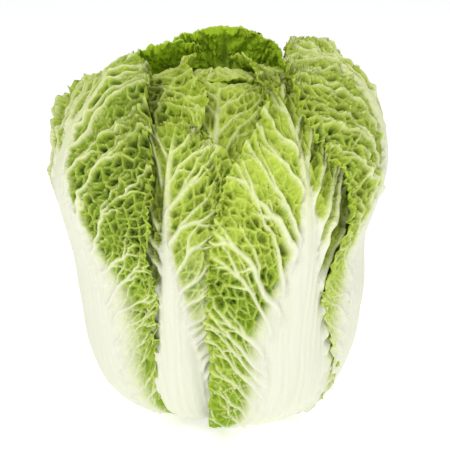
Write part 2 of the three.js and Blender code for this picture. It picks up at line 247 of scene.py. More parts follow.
INNER_LEAVES = (
    inner_leaf(
        "inner_leaf_front", -3, 182, ((15, -21), (75, -26), (125, -23), (182, -21)),
        (12, 16, 26, 37, 45, 52, 58, 58, 52, 44, 26),
        veins=(
            (20, 8, 0.4, 0.5, 0.9), (150, 14, 1.2, 0.9, 1.2), (220, 16, 1.6, 1.1, 1.0),
            (290, 13, 1.6, 1.3, 0.7),
        ),
        seed=21, tones=(0.2, 0.3), pale=0.06, cells=(5.5, 11),
    ),
    inner_leaf(
        "inner_leaf_right", 55, 164, ((15, -24.5), (75, -31), (125, -27.5), (178, -25)), seed=22,
        grid=HIDDEN_GRID,
    ),
    inner_leaf(
        "inner_leaf_back_right", 101, 170, ((15, -17.5), (75, -21), (125, -17), (150, -14), (178, -13)),
        CROWN_WIDTHS, seed=23, tones=(0.6, 0.6), frill=5, veins=CROWN_VEINS, wave=17, cells=(9, 7),
        teeth=2.5,
    ),
    inner_leaf(
        "inner_leaf_back_left", 190, 184, ((15, -21), (75, -26), (125, -22), (150, -19), (184, -19.3)),
        (12, 16, 26, 37, 45, 52, 58, 56, 46, 32, 20),
        seed=24, frill=1.2, grid=CROWN_GRID, wave=17, teeth=2,
    ),
    inner_leaf(
        "inner_leaf_left", -86, 171, ((15, -17.5), (75, -21), (125, -17), (150, -14), (178, -13)),
        (12, 16, 26, 37, 45, 54, 66, 72, 72, 66, 48),
        seed=25, tones=(0.5, 0.5), frill=6, veins=CROWN_VEINS, wave=17, cells=(11, 6), teeth=2.5,
    ),
)

HEART_LIFT = ((15, -31), (75, -37), (125, -32), (150, -27), (180, -25))
HEART_SEAMS = 5
HEART_TWIST = 150
HEART_GRID = (80, 120)
STEM_GRID = (36, 72)

# ---- curves, noise and nets ----------------------------------------------------------------------


def ease(t):
    """Rises from 0 to 1 over t from 0 to 1, level at both ends: t squared times 3 minus 2 t."""
    t = np.clip(t, 0, 1)
    return t * t * (3 - 2 * t)


def ramp(low, high, x):
    """The eased rise from 0 at low to 1 at high. With low above high it falls instead."""
    return ease((x - low) / (high - low))


def curve(points):
    """A smooth curve through (x, y) points as a function of arrays: cubic pieces that meet with the
    slope taken from each point's neighbours, level outside the first and last point."""
    xs, ys = np.array(points, float).T
    ahead = np.minimum(np.arange(len(xs)) + 1, len(xs) - 1)
    behind = np.maximum(np.arange(len(xs)) - 1, 0)
    slopes = (ys[ahead] - ys[behind]) / (xs[ahead] - xs[behind])

    def value(x):
        x = np.clip(x, xs[0], xs[-1])
        i = np.clip(np.searchsorted(xs, x, side="right") - 1, 0, len(xs) - 2)
        width = xs[i + 1] - xs[i]
        t = (x - xs[i]) / width
        a = slopes[i] * width
        b = slopes[i + 1] * width
        rise = ys[i + 1] - ys[i]
        return ys[i] + t * (a + t * (3 * rise - 2 * a - b + t * (a + b - 2 * rise)))

    return value


# Squares before the noise repeats.
TABLE = 64


def noise(x, y, seed):
    """Smooth noise from -1 to 1: random numbers at the corners of unit squares, eased between them."""
    numbers = np.random.default_rng(seed).uniform(-1, 1, (TABLE, TABLE))
    i = np.floor(x).astype(int)
    j = np.floor(y).astype(int)
    s = ease(x - i)
    t = ease(y - j)

    def row(j):
        return numbers[i % TABLE, j % TABLE] * (1 - s) + numbers[(i + 1) % TABLE, j % TABLE] * s

    return row(j) * (1 - t) + row(j + 1) * t


def patches(x, y, size, seed):
    """Smooth noise whose patches have a size in millimetres."""
    return noise(x / size, y / size, seed)


def bell(distance, width):
    """1 at no distance, falling to nothing over about two widths: e to the minus squared ratio."""
    return np.exp(-((distance / width) ** 2))


def cell_border(x, y, seed):
    """How far a point lies inside its cell, for cells that grow from one random point in each unit
    square: the least distance to the line midway between the cell's own point and another one."""
    numbers = np.random.default_rng(seed).uniform(0.06, 0.94, (TABLE, TABLE, 2))
    column = np.floor(x).astype(int)
    row = np.floor(y).astype(int)

    def offset(di, dj):
        jitter = numbers[(column + di) % TABLE, (row + dj) % TABLE]
        return column + di + jitter[..., 0] - x, row + dj + jitter[..., 1] - y

    nearest = np.full(x.shape, np.inf)
    own_x = np.zeros(x.shape)
    own_y = np.zeros(x.shape)
    for di in (-1, 0, 1):
        for dj in (-1, 0, 1):
            dx, dy = offset(di, dj)
            closer = dx * dx + dy * dy < nearest
            nearest = np.where(closer, dx * dx + dy * dy, nearest)
            own_x = np.where(closer, dx, own_x)
            own_y = np.where(closer, dy, own_y)
    border = np.full(x.shape, np.inf)
    for di in (-2, -1, 0, 1, 2):
        for dj in (-2, -1, 0, 1, 2):
            dx, dy = offset(di, dj)
            apart = np.hypot(dx - own_x, dy - own_y)
            middle = (dx * dx + dy * dy - own_x * own_x - own_y * own_y) / (2 * np.maximum(apart, 1e-9))
            border = np.where(apart > 1e-6, np.minimum(border, middle), border)
    return border


# Distance from the centre as a function of the angle from straight down, round the head's outline.
head_distance = curve([
    (math.degrees(math.atan2(r, CENTRE_HEIGHT - z)), math.hypot(r, CENTRE_HEIGHT - z))
    for r, z in HEAD_OUTLINE
])

# ---- a leaf --------------------------------------------------------------------------------------

stalk_depth = curve(((0, 0.3), (0.15, 1), (0.3, 1), (0.55, 0.5), (0.8, 0.16), (1, 0.05)))

# A leaf's own coordinates span this many millimetres of its UV map.
UV_SPAN = 400

# Side veins: a distance for none near by, where along a vein its twigs leave it, how much it swerves
# away from them, its two sways as (size, length), its half width for a width of 1, and at its end.
NO_VEIN = 40
TWIG_PLACES = (0.16, 0.36, 0.56, 0.76)
SWERVE = 0.16
VEIN_SWAYS = ((1.8, 7), (0.9, 2.9))
VEIN_WIDTH = 0.46
VEIN_END = 0.3

# Margins: reach inland and height, for a ruffle of 1, of the waves and the frill, lean of the waves,
# share of the notches that goes with them and their turns for each wave, how far apart the two sides
# take their noise, and the width of the light rim.
WAVE_REACH = 16
WAVE_HEIGHT = 0.7
WAVE_LEAN = 0.3
FRILL_REACH = 9
FRILL_HEIGHT = 0.8
NOTCH_SHARE = 0.4
NOTCH_TURNS = 2.3
SIDES_APART = 300
RIM_WIDTH = 2

# Ridges, the rib beyond the stalk, the stalk's fine stripes, and how far from it pleats are deep.
RIDGE_HEIGHT = 1.5
RIB_HEIGHT = 1.3
STRIPE_HEIGHT = 0.2
STRIPE_WIDTH = 2.2
PLEAT_REACH = 16

# The net's lines, its cells' pits and lumps, and the (size, patch) pairs of the noise that warps it.
WARPS = ((2.6, 22), (0.9, 7))
FINE_CELLS = 2.1
NET_WIDTH = 0.6
NET_HEIGHT = 0.9
FINE_NET_WIDTH = 0.45
FINE_NET_HEIGHT = 0.4
PIT_EDGE = 0.21
PIT_DEPTH = 2.3
FINE_PIT_EDGE = 0.8
FINE_PIT_DEPTH = 1.1
LANE_EDGE = 2.2
LUMP_HEIGHT = 1.8

# How white, veined and netted a leaf looks inside, and how much painted shade its pits get there, as
# shares of its outside.
INSIDE = {"white": 0.1, "vein": 0.25, "net": 0.2, "pit": 0.35}


def midrib(table):
    """Angles along the midrib as a function of length, from the foot to a little past the tip, and the
    length to the tip: the path over the head shape plus the leaf's lift, summed in short steps."""
    lift = curve(table.lift)
    angles = np.arange(FOOT_ANGLE, table.tip + 24, 0.25)
    distance = head_distance(angles) + lift(angles)
    steps = np.hypot(np.diff(distance), distance[:-1] * np.radians(np.diff(angles)))
    lengths = np.concatenate(([0], np.cumsum(steps)))
    tip_length = np.interp(table.tip, angles, lengths)
    return (lambda length: np.interp(length, lengths, angles)), tip_length


def at_stations(values):
    """A smooth curve through values given at STATIONS."""
    return curve(list(zip(STATIONS, values)))


def side_veins(table, sizes, length, x, y):
    """Side veins. Each leaves the stalk's edge at its starting slope, bends outwards within a short
    way and runs on at its end slope, thinning until it ends short of the margin. Twigs leave it on
    alternate sides, and it swerves a little away from each. Returns the ridges' height, the line mask
    (1 on a vein), the share of whiteness, and the clear distance to the nearest vein."""
    rng = np.random.default_rng(table.seed)
    across = np.abs(x)
    places, *columns = np.array(table.veins, float).T
    usual_bend = sizes.vein_bend / MM
    longest = sizes.longest_vein / MM
    ridge = np.zeros(x.shape)
    line = np.zeros(x.shape)
    white = np.zeros(x.shape)
    clear = np.full(x.shape, NO_VEIN)
    for side, name in ((-1, "left"), (1, "right")):
        reach_at = at_stations(getattr(table, name))
        stalk_at = at_stations(getattr(table, name + "_stalk"))
        start = places[0] + rng.uniform(0, 6)
        while start < 0.97 * length:
            share = start / length
            gap, first, last, width = [np.interp(start, places, column) for column in columns]
            first *= rng.uniform(0.75, 1.25)
            last *= rng.uniform(0.75, 1.25)
            width *= rng.uniform(0.45, 1.25)
            bend = usual_bend * rng.uniform(0.6, 1.4)
            root = 0.8 * float(stalk_at(share))
            run_out = float(reach_at(share)) - root
            far_share = min(1, (start + last * run_out) / length)
            run_out = 0.5 * (run_out + float(reach_at(far_share)) - root)
            reach = min(max(run_out, 12), longest) * rng.uniform(0.8, 1.2)
            phases = rng.uniform(0, 6, 2)
            t = np.maximum(across - root, 0)
            path = start + last * t + (first - last) * bend * (1 - np.exp(-t / bend))
            for (size, turn_length), phase in zip(VEIN_SWAYS, phases):
                path = path + size * np.sin(t / turn_length + phase)
            steep = last + (first - last) * np.exp(-t / bend)
            twig = 0.25 + 0.35 * ramp(0.25, 0.6, share)
            twigs = []
            turn = rng.choice((-1, 1))
            for place in TWIG_PLACES:
                turn = -turn
                fork = reach * (place + rng.uniform(-0.05, 0.05))
                run = reach * rng.uniform(0.25, 0.45)
                twigs.append((fork, turn * rng.uniform(0.6, 1.3), twig, run))
                path = path - SWERVE * turn * np.maximum(t - fork, 0)
            here = (side * x > 0) * ramp(root - 2.5, root + 1.5, across)
            for fork, branch, thin, run in ((0, 0, 1.0, reach), *twigs):
                on = here * ramp(fork - 1, fork + 1, t) * ramp(fork + 1.1 * run, fork + 0.9 * run, t)
                off = path + branch * np.maximum(t - fork, 0)
                d = np.abs(y - off) / np.hypot(1, steep + branch)
                fade = np.clip(1 - (t - fork) / run, 0, 1)
                half = VEIN_WIDTH * width * thin * (0.1 + 0.9 * fade**2) + VEIN_END
                bump = on * bell(d, half)
                ridge = np.maximum(ridge, bump * half)
                line = np.maximum(line, on * np.exp(-((d / half) ** 4)) * (0.5 + 0.5 * fade))
                white = np.maximum(white, bump * fade**0.6 * thin)
                beside = np.maximum(d - 0.8 * half, 0) + 0.7 * (1 - thin)
                clear = np.minimum(clear, np.where(on > 0.4, beside, NO_VEIN))
            start += gap * rng.uniform(0.7, 1.3)
    return ridge, line, white, clear


def by_side(table, name, on_left, place):
    """The table's left and right values, each on its side, at shares of the leaf's length."""
    left = at_stations(getattr(table, "left" + name))(place)
    right = at_stations(getattr(table, "right" + name))(place)
    return np.where(on_left, left, right)


def leaf_layout(table, length):
    """The leaf laid flat: x across from the midrib and y along it, for shares u of its length and v of
    its half width.

    Rows crowd towards the tip and climb towards the margins by a slant. Notches, noise plus a cosine
    along the rim, move it in and out. The margin's waves are a sine along the rim that dies away
    inland, plus a frill of noise close to it. They also push the margin sideways: its folds lean."""
    rows, columns = table.grid
    seed = table.seed * 100
    t = np.linspace(0, 1, rows + 1)[:, None]
    u = t * (1 + table.crowding * (1 - t))
    left_columns = round(columns * max(table.left) / (max(table.left) + max(table.right)))
    v = np.concatenate((
        np.linspace(-1, 0, left_columns + 1)[:-1], np.linspace(0, 1, columns - left_columns + 1),
    ))[None, :]
    on_left = v < 0
    half = by_side(table, "", on_left, u)
    open_blade = ramp(0.04, 0.24, u)
    near_rim = ramp(0.7, 1, np.abs(v))
    turns = 2 * np.pi / table.wave

    def drifting(place, drift_seed):
        return turns * place + 5 * patches(place, 0 * place, 28, drift_seed)

    def notches(place, size, notch_seed, phase):
        uneven = patches(place, 0 * place, size, notch_seed)
        return table.teeth * (uneven + NOTCH_SHARE * np.cos(NOTCH_TURNS * phase + 1))

    rim_place = u * length + SIDES_APART * on_left
    side_phase = drifting(rim_place, seed + 5)
    x = v * half + np.sign(v) * notches(rim_place, 25, seed, side_phase) * near_rim * open_blade
    across = np.abs(x)
    tip_phase = drifting(x, seed + 6)
    slant = ROW_SLANT * np.clip(u / 0.25, 0, 1) * (1 - 0.75 * ramp(0.6, 1, u))
    y = u * length + slant * across + notches(x, 22, seed + 4, tip_phase) * ramp(0.93, 1, u)
    from_side = (1 - np.abs(v)) * half
    from_tip = (1 - u) * length
    rim = np.minimum(from_side, from_tip)

    at_tip = ramp(-6, 6, from_side - from_tip)
    phase = side_phase * (1 - at_tip) + tip_phase * at_tip + 2.5 * patches(x, y, 8, seed + 17)
    ruffle = np.where(on_left, *table.ruffle) * open_blade * (1 - 0.4 * at_tip)
    uneven = 0.8 + 0.5 * patches(x, y, 30, seed + 16)
    ruffled = WAVE_HEIGHT * ramp(WAVE_REACH, 0, rim) ** 1.3 * ruffle * uneven
    frill = FRILL_HEIGHT * ramp(FRILL_REACH, 0, rim) * ruffle * patches(x, y, 3.6, seed + 18)
    return SimpleNamespace(
        seed=seed, length=length, u=u, v=v, y=y, across=across, on_left=on_left, open_blade=open_blade,
        from_tip=from_tip, rim=rim, wave=ruffled * np.sin(phase) + frill,
        x=x + WAVE_LEAN * ruffled * np.cos(phase) * np.sign(v) * near_rim,
    )


def warped(place, flat, seed):
    """A coordinate of the flat leaf moved by broad and fine noise, so that nothing runs straight."""
    (broad, broad_patch), (fine, fine_patch) = WARPS
    place = place + broad * flat.open_blade * patches(flat.x, flat.y, broad_patch, seed)
    return place + fine * patches(flat.x, flat.y, fine_patch, seed + 1)


def leaf_relief(table, sizes, flat):
    """How the flat leaf swells and sinks, in millimetres.

    The stalk and the rib beyond it are bells across the leaf. Side veins are ridges. Between them the
    blade sinks in lanes and, in the cells of the net, in pits of uneven depth with finer pits inside
    them, less and less towards the rim. Lumps and broad sways are noise."""
    seed, u, x, y, across = flat.seed, flat.u, flat.x, flat.y, flat.across
    warped_x = warped(x, flat, seed + 7)
    warped_y = warped(y, flat, seed + 9)
    ridge, line, white, clear = side_veins(table, sizes, flat.length, warped_x, warped_y)
    stalk_out, stalk_in = table.stalk
    stalk_edge = by_side(table, "_stalk", flat.on_left, np.clip(y / flat.length, 0, 1))
    stalk = np.exp(-((across / stalk_edge) ** 3))
    blade = (1 - stalk) * flat.open_blade

    across_cells, along_cells = table.cells
    cell_x = warped_x / across_cells
    cell_y = (warped_y - table.shear * np.abs(warped_x)) / along_cells
    border = np.minimum(cell_border(cell_x, cell_y, seed + 11) * across_cells, clear)
    fine_border = cell_border(FINE_CELLS * cell_x, FINE_CELLS * cell_y, seed + 12)
    fine_border = np.minimum(fine_border * across_cells / FINE_CELLS, border)
    depth = patches(x, y, 3.8, seed + 20)
    uneven = 1 + 0.6 * depth
    net = bell(border, NET_WIDTH) * np.minimum(uneven, 1)
    fine_net = bell(fine_border, FINE_NET_WIDTH)
    hollow = 1 - bell(border, PIT_EDGE * min(table.cells))
    fine_pit = 1 - bell(fine_border, FINE_PIT_EDGE)
    patchy = 1 + 0.6 * patches(x, y, 18, seed + 13)
    crinkled = table.blister * (0.25 + 0.75 * ramp(0.38, 0.68, u)) * patchy
    raised = blade * crinkled * table.relief
    lump = LUMP_HEIGHT * patches(x, y, 6, seed + 19)
    veins = RIDGE_HEIGHT * ridge + raised * (NET_HEIGHT * net + FINE_NET_HEIGHT * fine_net + lump)
    lane = 1 - bell(clear, LANE_EDGE)
    pleat = table.pleat * (0.5 + 0.5 * ramp(0.2, 0.45, u))
    pleat = pleat * (1 + bell(across - stalk_edge, PLEAT_REACH))
    pits = PIT_DEPTH * (uneven * hollow) + FINE_PIT_DEPTH * fine_pit
    sunk = ramp(0, 2, flat.rim) * (blade * pleat * lane + raised * pits)

    rib_edge = np.maximum(stalk_edge, 0.9)
    middle_rib = RIB_HEIGHT * bell(across, rib_edge) * ramp(0.4, 0.65, u) * ramp(1, 0.93, u)
    stripe_place = across / STRIPE_WIDTH + 1.5 * noise(x / 9, y / 60, seed + 14)
    stripes = STRIPE_HEIGHT * np.cos(np.pi * stripe_place) * stalk
    swelling = stalk_out * stalk * stalk_depth(u) + middle_rib + stripes * flat.open_blade
    return SimpleNamespace(
        ridge=ridge, line=line, white=white, stalk=stalk, stalk_edge=stalk_edge, rib_edge=rib_edge,
        stalk_in=stalk_in, blade=blade, net=net, fine_net=fine_net, lane=lane, depth=depth,
        # shadow: how much painted shade the pits get, from how crinkled and hollow the blade is.
        shadow=np.minimum(1.6 * crinkled, 1) * (0.85 * hollow + 0.2 * fine_pit),
        swelling=swelling, veins=veins, sunk=sunk,
        sway=table.sway * blade * patches(x, y, 24, seed + 15),
    )


def leaf_masks(table, flat, relief):
    """The masks that the leaf's material reads, from 0 to 1: white stalk and vein starts, vein lines,
    net, painted shade in the pits and lanes, the light rim and the blade's tone."""
    u = flat.u
    low_tone, high_tone = table.tones
    fleshy = ramp(1.25, 0.8, flat.across / relief.stalk_edge) * ramp(0.9, 0.6, u)
    fleshy = fleshy + relief.white * (0.3 + 0.7 * ramp(0.9, 0.45, u))
    rib = ramp(1.3, 0.9, flat.across / relief.rib_edge) * ramp(1, 0.9, u)
    # Painted shade in the pits, stronger where the noise that deepens them is high; the lanes between
    # side veins get a little of it too.
    dark = relief.shadow * (0.25 + 0.75 * ramp(-0.25, 0.2, relief.depth))
    return {
        "white": np.clip(np.maximum(fleshy, table.pale * ramp(0.75, 0.3, u)), 0, 1),
        "vein": np.clip(np.maximum(relief.line, rib), 0, 1),
        "net": np.clip(relief.blade * np.maximum(relief.net, 0.35 * relief.fine_net), 0, 1),
        "pit": np.clip(relief.blade * (0.15 * relief.lane + dark), 0, 1),
        "rim": np.exp(-flat.rim / RIM_WIDTH) * flat.open_blade,
        "tone": low_tone + (high_tone - low_tone) * ramp(0.4, 0.75, u) + 0 * flat.v,
    }


def leaf_surface(table, sizes):
    """The leaf as two grids of points, outer and inner, with its colour masks and its UV map.

    A row runs across the leaf on great circles through the midrib. A point lies on the ray from the
    head's centre at the head shape's distance plus the leaf's lift, its margin's lift and waves, the
    swelling of its stalk and veins, less its pits and pleats. The inner face follows the outer one at
    the blade's thickness and the stalk's depth, without the finest relief."""
    lift = curve(table.lift)
    angle_at, length = midrib(table)
    flat = leaf_layout(table, length)
    relief = leaf_relief(table, sizes, flat)
    angle = angle_at(flat.y)
    spread = flat.x / (head_distance(angle) + lift(angle))
    a = np.radians(angle)
    turn = math.radians(table.azimuth)
    out = np.array((math.sin(turn), -math.cos(turn), 0))
    side = np.array((math.cos(turn), math.sin(turn), 0))
    up = np.array((0, 0, 1))
    middle = np.sin(a)[..., None] * out - np.cos(a)[..., None] * up
    direction = np.cos(spread)[..., None] * middle + np.sin(spread)[..., None] * side
    place = np.degrees(np.arccos(np.clip(-direction[..., 2], -1, 1)))

    margin = ramp(0.4, 1, np.abs(flat.v)) * by_side(table, "_margin", flat.on_left, flat.u)
    margin = margin + table.frill * ramp(sizes.frill_length / MM, 0, flat.from_tip) ** 1.5
    base = head_distance(place) + lift(place) + margin + flat.wave + relief.sway
    outer = base + relief.swelling + relief.veins - relief.sunk
    inner = outer - sizes.thickness / MM - relief.stalk_in * relief.stalk
    if table.fine_inside:
        inner = inner - 0.6 * relief.ridge
    else:
        slack = 0.5 * table.pleat + 1.2 * table.blister * table.relief
        inner = inner - RIDGE_HEIGHT * relief.ridge - slack * relief.blade * ramp(0, 6, flat.rim)
    centre = np.array((0, 0, CENTRE_HEIGHT))
    uv = np.stack((0.5 + flat.x / UV_SPAN, flat.y / UV_SPAN), -1)
    outer_points = centre + direction * outer[..., None]
    inner_points = centre + direction * inner[..., None]
    return outer_points, inner_points, leaf_masks(table, flat, relief), uv


# ---- the heart and the stem ----------------------------------------------------------------------


def heart_surface(sizes):
    """Rings of points round the tightly packed innermost leaves, from the foot to the crown: the head
    shape plus the heart's lift, less a sawtooth whose steps, overlapping margins, climb round it."""
    rows, columns = HEART_GRID
    angle = np.linspace(2, 178, rows)[:, None]
    azimuth = np.linspace(0, 360, columns, endpoint=False)[None, :]
    wander = 0.12 * noise(azimuth * 12 / 360, angle / 15, 301)
    turn = (azimuth + HEART_TWIST * angle / 180) * HEART_SEAMS / 360 + wander
    saw = turn - np.floor(turn) - 1
    seam = sizes.heart_seam / MM * saw * ramp(60, 120, angle)
    net = bell(cell_border(azimuth * 1.2 / 9, angle * 1.5 / 9, 302) * 9, 0.9)
    lift = curve(HEART_LIFT)
    distance = head_distance(angle) + lift(angle) + seam + 0.6 * net * ramp(60, 90, angle)
    turned = np.radians(azimuth)
    a = np.radians(angle)
    direction = np.stack((
        np.sin(a) * np.sin(turned), -np.sin(a) * np.cos(turned), -np.cos(a) + 0 * turned,
    ), -1)
    masks = {
        "white": ramp(95, 60, angle) + 0 * azimuth,
        "vein": 0.5 * net,
        "net": net,
        # Painted shade in the cells between the heart's net.
        "pit": 0.4 * (1 - net),
        "rim": ramp(-0.12, 0, saw),
        "tone": 0.2 + 0 * saw,
    }
    return np.array((0, 0, CENTRE_HEIGHT)) + direction * distance[..., None], masks


def stem_surface():
    """Rings of points round the cut stem: a cone that points at the head's centre, closed by the flat
    cut face below and a low dome above, with shallow flutes round its side."""
    rows, columns = STEM_GRID
    t = np.linspace(0, 1, rows)[:, None]
    azimuth = np.linspace(0, 2 * np.pi, columns, endpoint=False)[None, :]
    foot = CENTRE_HEIGHT * math.tan(math.radians(STEM_ANGLE))
    taper = math.tan(math.radians(STEM_ANGLE))
    profile = curve(((0, 0), (0.3, 0.02), (0.34, 0.6), (0.72, 26), (0.8, 28.5), (1, STEM_HEIGHT)))
    height = np.where(t <= 0.3, 0, profile(t))
    side = (CENTRE_HEIGHT - height) * taper - 0.9 * ramp(0.35, 0.3, t)
    radius = np.where(t < 0.3, np.maximum(t / 0.3, 0.02) * (foot - 0.9), side)
    radius = radius * np.where(t > 0.74, np.sqrt(np.clip((1.0005 - t) / 0.26, 0, 1)), 1)
    radius = radius - 0.25 * (1 + np.cos(9 * azimuth)) * ramp(0.3, 0.45, t) * ramp(1, 0.75, t)
    return np.stack((radius * np.sin(azimuth), -radius * np.cos(azimuth), height + 0 * azimuth), -1)


# ---- meshes --------------------------------------------------------------------------------------


def grid_quads(rows, columns, first=0, flip=False):
    """Corner numbers of a grid of rows x columns quads whose points start at number first."""
    i = np.arange(rows)[:, None]
    j = np.arange(columns)[None, :]
    corner = first + i * (columns + 1) + j
    above = corner + columns + 1
    quads = np.stack((corner, corner + 1, above + 1, above), -1).reshape(-1, 4)
    return quads[:, ::-1] if flip else quads


def grid_rim(rows, columns, first=0):
    """Point numbers around a grid's rim, counter-clockwise, where the grid's points start at first."""
    number = first + np.arange((rows + 1) * (columns + 1)).reshape(rows + 1, columns + 1)
    return np.concatenate((number[0, :-1], number[:-1, -1], number[-1, :0:-1], number[:0:-1, 0]))


def build_mesh(name, points, faces, uv=None, masks=None):
    """A smooth-shaded mesh from points in millimetres, lists of faces of 3 and 4 corners, a UV for each
    point and named masks, one value for each point."""
    mesh = bpy.data.meshes.new(name)
    corners = np.concatenate([f.ravel() for f in faces]).astype(np.int32)
    sizes = np.concatenate([np.full(len(f), f.shape[1]) for f in faces])
    starts = np.concatenate(([0], np.cumsum(sizes)[:-1])).astype(np.int32)
    mesh.vertices.add(len(points))
    mesh.vertices.foreach_set("co", (points * MM).astype(np.float32).ravel())
    mesh.loops.add(len(corners))
    mesh.loops.foreach_set("vertex_index", corners)
    mesh.polygons.add(len(starts))
    mesh.polygons.foreach_set("loop_start", starts)
    mesh.update(calc_edges=True)
    mesh.validate()
    mesh.shade_smooth()
    if uv is not None:
        layer = mesh.uv_layers.new(name="leaf")
        layer.data.foreach_set("uv", uv[corners].astype(np.float32).ravel())
    for mask, values in (masks or {}).items():
        attribute = mesh.attributes.new(mask, "FLOAT", "POINT")
        attribute.data.foreach_set("value", values.astype(np.float32).ravel())
    piece = bpy.data.objects.new(name, mesh)
    bpy.context.scene.collection.objects.link(piece)
    return piece


def ring_piece(name, rings, masks=None):
    """A closed piece from rings of points that climb from a bottom pole to a top one, where fans of
    triangles close it."""
    rows, columns = rings.shape[:2]
    low = rings[0].mean(axis=0)
    high = rings[-1].mean(axis=0)
    points = np.concatenate((rings.reshape(-1, 3), (low, high)))
    i = np.arange(rows - 1)[:, None] * columns
    j = np.arange(columns)[None, :]
    k = (j + 1) % columns
    quads = np.stack((i + j, i + k, i + columns + k, i + columns + j), -1).reshape(-1, 4)
    count = rows * columns
    j = j.ravel()
    k = k.ravel()
    last = count - columns
    fans = np.concatenate((
        np.stack((np.full(columns, count), k, j), -1),
        np.stack((np.full(columns, count + 1), last + j, last + k), -1),
    ))
    spread = {m: np.append(v.ravel(), (v[0].mean(), v[-1].mean())) for m, v in (masks or {}).items()}
    return build_mesh(name, points, [quads, fans], masks=spread)


def leaf_piece(table, sizes):
    """A closed leaf: a fine outer face and an inner face, which has half the rows and columns unless
    the leaf shows its inside, joined around the rim by a strip of triangles or quads."""
    outer, inner, masks, uv = leaf_surface(table, sizes)
    rows, columns = table.grid
    step = 1 if table.fine_inside else 2
    back = (slice(None, None, step),) * 2
    count = outer.shape[0] * outer.shape[1]
    points = np.concatenate((outer.reshape(-1, 3), inner[back].reshape(-1, 3)))
    front_rim = grid_rim(rows, columns)
    back_rim = grid_rim(rows // step, columns // step, count)
    here = front_rim[::step]
    ahead = np.roll(front_rim, -step)[::step]
    back_ahead = np.roll(back_rim, -1)
    if step == 2:
        between = front_rim[1::2]
        strip = np.concatenate((
            np.stack((here, back_rim, between), -1),
            np.stack((between, back_rim, back_ahead), -1),
            np.stack((between, back_ahead, ahead), -1),
        ))
    else:
        strip = np.stack((here, back_rim, back_ahead, ahead), -1)
    faces = [
        grid_quads(rows, columns),
        grid_quads(rows // step, columns // step, count, flip=True),
        strip,
    ]
    all_uv = np.concatenate((uv.reshape(-1, 2), uv[back].reshape(-1, 2)))
    all_masks = {
        k: np.concatenate((m.ravel(), INSIDE.get(k, 1) * m[back].ravel())) for k, m in masks.items()
    }
    return build_mesh(table.name + "_skin", points, faces, all_uv, all_masks)


# ---- materials -----------------------------------------------------------------------------------


def operator_method(operation, swapped=False):
    """A method that adds a Math node for an operation on a link and another link or number."""
    def method(self, other):
        inputs = {0: other, 1: self} if swapped else {0: self, 1: other}
        return self.finish.node("ShaderNodeMath", {"operation": operation}, inputs)

    return method


class Link:
    """An output socket. Arithmetic on it adds Math nodes to its material."""

    def __init__(self, finish, socket):
        self.finish = finish
        self.socket = socket

    __add__ = operator_method("ADD")
    __radd__ = operator_method("ADD", swapped=True)
    __sub__ = operator_method("SUBTRACT")
    __rsub__ = operator_method("SUBTRACT", swapped=True)
    __mul__ = operator_method("MULTIPLY")

    def clamped(self):
        """The same value, kept between 0 and 1."""
        total = self + 0.0
        total.socket.node.use_clamp = True
        return total


NOISE_ROUGHNESS = 0.55


class Finish:
    """A material under construction, with a Principled shader on its output."""

    def __init__(self, name):
        self.material = bpy.data.materials.new(name)
        self.material.use_nodes = True
        self.tree = self.material.node_tree
        self.tree.nodes.clear()
        output = self.tree.nodes.new("ShaderNodeOutputMaterial")
        self.shader = self.tree.nodes.new("ShaderNodeBsdfPrincipled")
        self.tree.links.new(self.shader.outputs[0], output.inputs[0])

    def node(self, kind, settings, inputs, output=0):
        """Adds a node: its settings first, then values or links on its input sockets."""
        made = self.tree.nodes.new(kind)
        for name, value in settings.items():
            setattr(made, name, value)
        self.feed(made, inputs)
        return Link(self, made.outputs[output])

    def feed(self, made, inputs):
        """Puts values or links on a node's input sockets."""
        for name, value in inputs.items():
            if isinstance(value, Link):
                self.tree.links.new(value.socket, made.inputs[name])
            else:
                made.inputs[name].default_value = value

    def mask(self, name):
        """One of the mesh's masks, as leaf_masks names them."""
        return self.node("ShaderNodeAttribute", {"attribute_name": name}, {}, "Fac")

    def mix(self, share, first, second):
        """The first colour turned into the second one by the share."""
        settings = {"data_type": "RGBA", "clamp_factor": True}
        return self.node("ShaderNodeMix", settings, {0: share, 6: first, 7: second}, 2)

    def place(self, kind, scale=(1, 1, 1)):
        """Coordinates in metres, the leaf's own for "UV", stretched by a scale for each direction."""
        metres = UV_SPAN * MM if kind == "UV" else 1
        scale = tuple(metres * s for s in scale)
        found = self.node("ShaderNodeTexCoord", {}, {}, kind)
        return self.node("ShaderNodeMapping", {}, {"Vector": found, "Scale": scale})

    def noise(self, vector, scale, detail=3.0):
        """Noise in patches whose size is 1 metre over the scale."""
        values = {"Vector": vector, "Scale": scale, "Detail": detail, "Roughness": NOISE_ROUGHNESS}
        return self.node("ShaderNodeTexNoise", {}, values, "Fac")

    def bump(self, height, strength, distance):
        """Normals tilted by a height, at most a distance in metres."""
        values = {"Height": height, "Strength": strength, "Distance": distance}
        return self.node("ShaderNodeBump", {}, values)


# Scales of the skins' noise, each 1 over a patch in metres, and of the finest net.
MOTTLE_SCALE = 40
SPECKLE_SCALE = 190
GRAIN_SCALE = 420
STRIPE_STRETCH = (150, 6, 6)
STRIPE_SCALE = 3.2
DRIFT_SCALE = 170
FINEST_NET_SCALE = 310
NET_DRIFT = 0.004
BROWN_SCALE = 60
FIBRE_SCALE = 500


